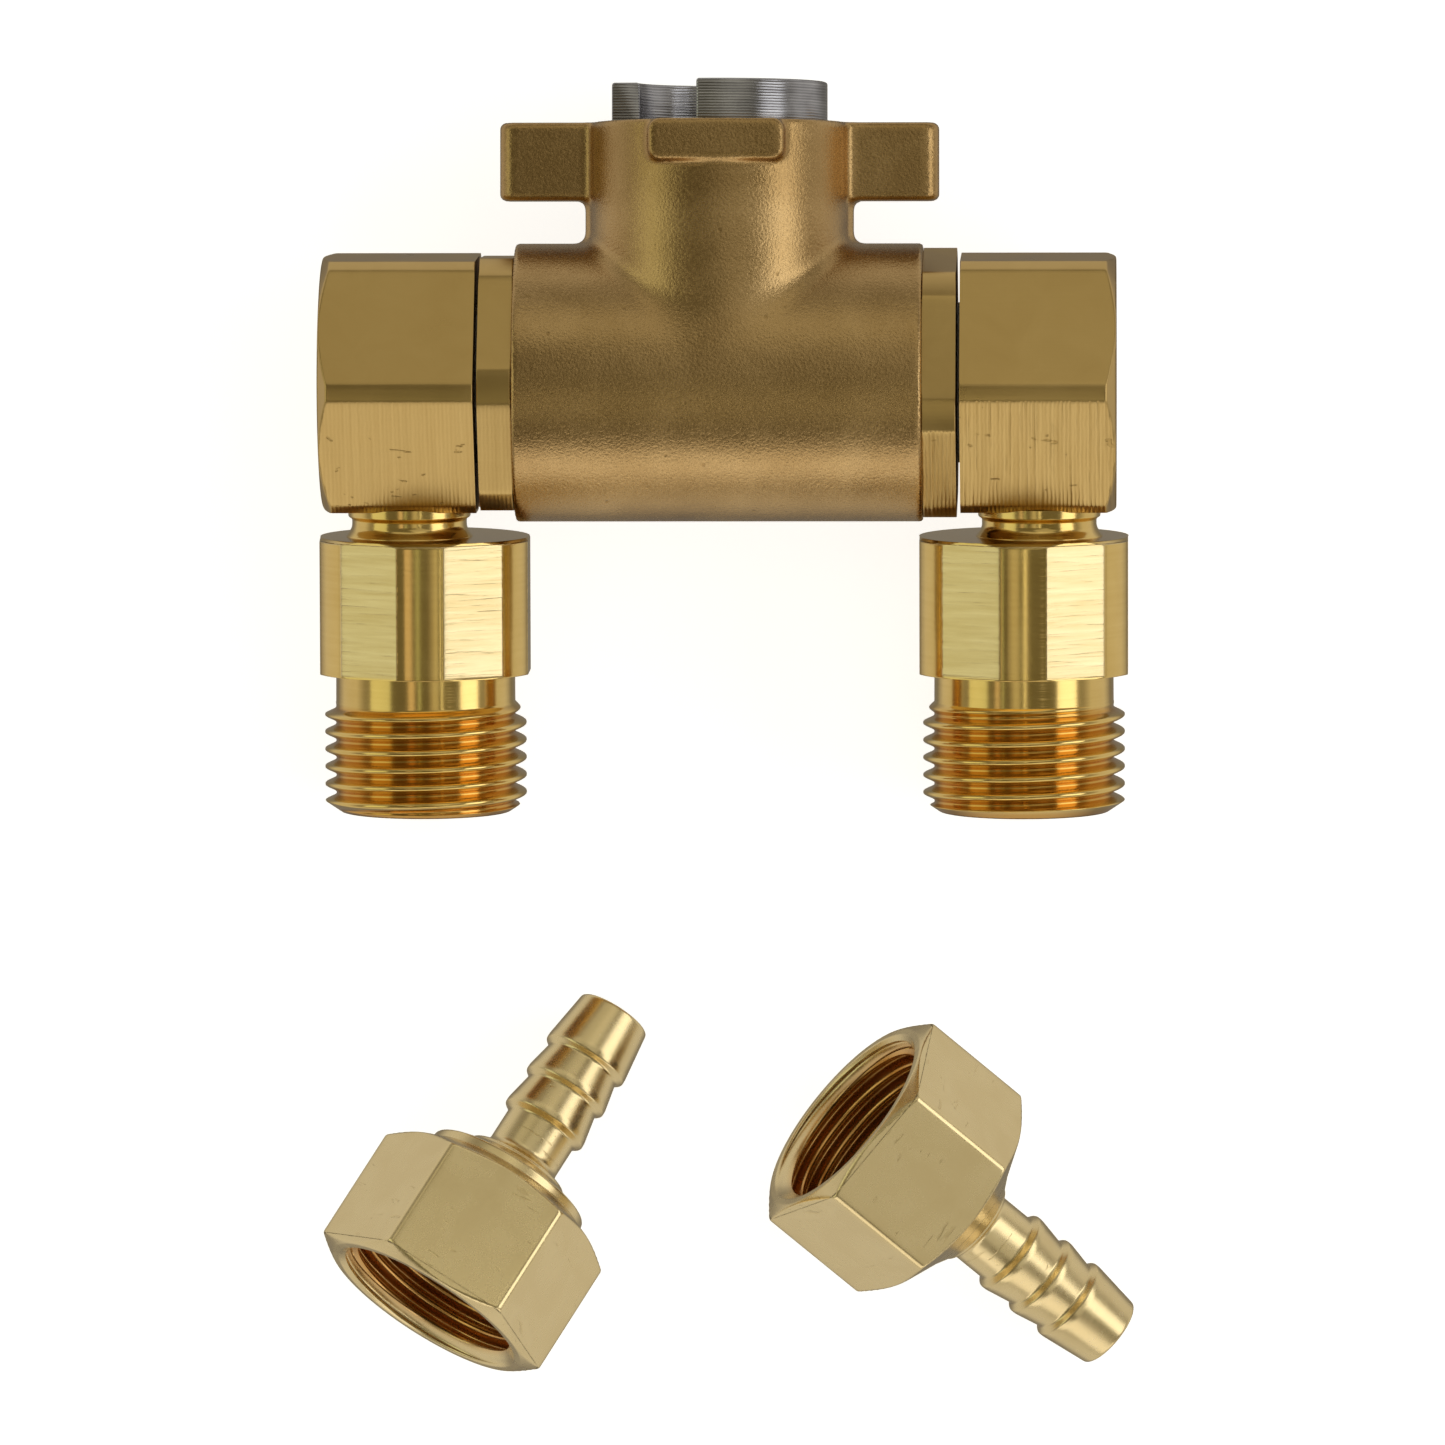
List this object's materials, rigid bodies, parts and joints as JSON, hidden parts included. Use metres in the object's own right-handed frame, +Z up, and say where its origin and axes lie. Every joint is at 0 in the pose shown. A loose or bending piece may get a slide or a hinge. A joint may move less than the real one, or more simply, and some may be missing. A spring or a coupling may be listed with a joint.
{
  "type": "hose splitter",
  "caption": "Brass two-way hose splitter with swivelling elbow outlets and loose barbed hose tails, laid out on a surface.",
  "frame": {"origin": "middle of the kit outline, on the surface it lies on", "axes": "+Z up from the surface, +Y the way the inlet points, +X along the cross axis to the right-hand leg"},
  "size_m": [0.085, 0.1338, 0.0292],
  "materials": {
    "cast_brass": "matte sand-cast brass, fine grain",
    "milled_brass": "satin milled brass with fine tool lines",
    "turned_brass": "bright turned brass",
    "pale_brass": "pale satin brass",
    "steel": "grey turned steel with fine lathe lines",
    "rubber": "black rubber",
    "nylon": "white low-friction plastic"
  },
  "bodies": {
    "splitter": {"tee_casting": "cast_brass", "claw_ring": "steel", "inlet_gasket": "rubber", "left_hex_bush": "milled_brass", "left_bush_gasket": "rubber", "left_wear_washer": "nylon", "left_inner_o_ring": "rubber", "left_outer_o_ring": "rubber", "left_swivel_clip": "steel", "right_hex_bush": "milled_brass", "right_bush_gasket": "rubber", "right_wear_washer": "nylon", "right_inner_o_ring": "rubber", "right_outer_o_ring": "rubber", "right_swivel_clip": "steel"},
    "left_elbow": {"left_elbow_block": "milled_brass"},
    "right_elbow": {"right_elbow_block": "milled_brass"},
    "left_outlet": {"left_outlet_spigot": "turned_brass", "left_spigot_o_ring": "rubber", "left_spigot_clip": "steel"},
    "right_outlet": {"right_outlet_spigot": "turned_brass", "right_spigot_o_ring": "rubber", "right_spigot_clip": "steel"},
    "left_tail": {"left_hose_tail": "pale_brass", "left_tail_washer": "rubber"},
    "right_tail": {"right_hose_tail": "pale_brass", "right_tail_washer": "rubber"}
  },
  "joints": [
    {"name": "left_elbow_swivel", "type": "hinge", "parent": "splitter", "child": "left_elbow", "pos_m": [-0.03272, 0.03578, 0.01462], "axis": [1, 0, 0], "range_deg": [-155, 144]},
    {"name": "right_elbow_swivel", "type": "hinge", "parent": "splitter", "child": "right_elbow", "pos_m": [0.03263, 0.03578, 0.01462], "axis": [1, 0, 0], "range_deg": [-155, 144]},
    {"name": "left_outlet_spin", "type": "hinge", "parent": "left_elbow", "child": "left_outlet", "pos_m": [-0.03272, 0.03578, 0.01462], "axis": [0, -0.9952, -0.0982], "continuous": true},
    {"name": "right_outlet_spin", "type": "hinge", "parent": "right_elbow", "child": "right_outlet", "pos_m": [0.03263, 0.03578, 0.01462], "axis": [0, -0.9952, -0.0982], "continuous": true},
    {"name": "left_tail_lift", "type": "slide", "parent": "splitter", "child": "left_tail", "axis": [0, 0, 1], "range_m": [0, 0.05]},
    {"name": "right_tail_lift", "type": "slide", "parent": "splitter", "child": "right_tail", "axis": [0, 0, 1], "range_m": [0, 0.05]}
  ]
}
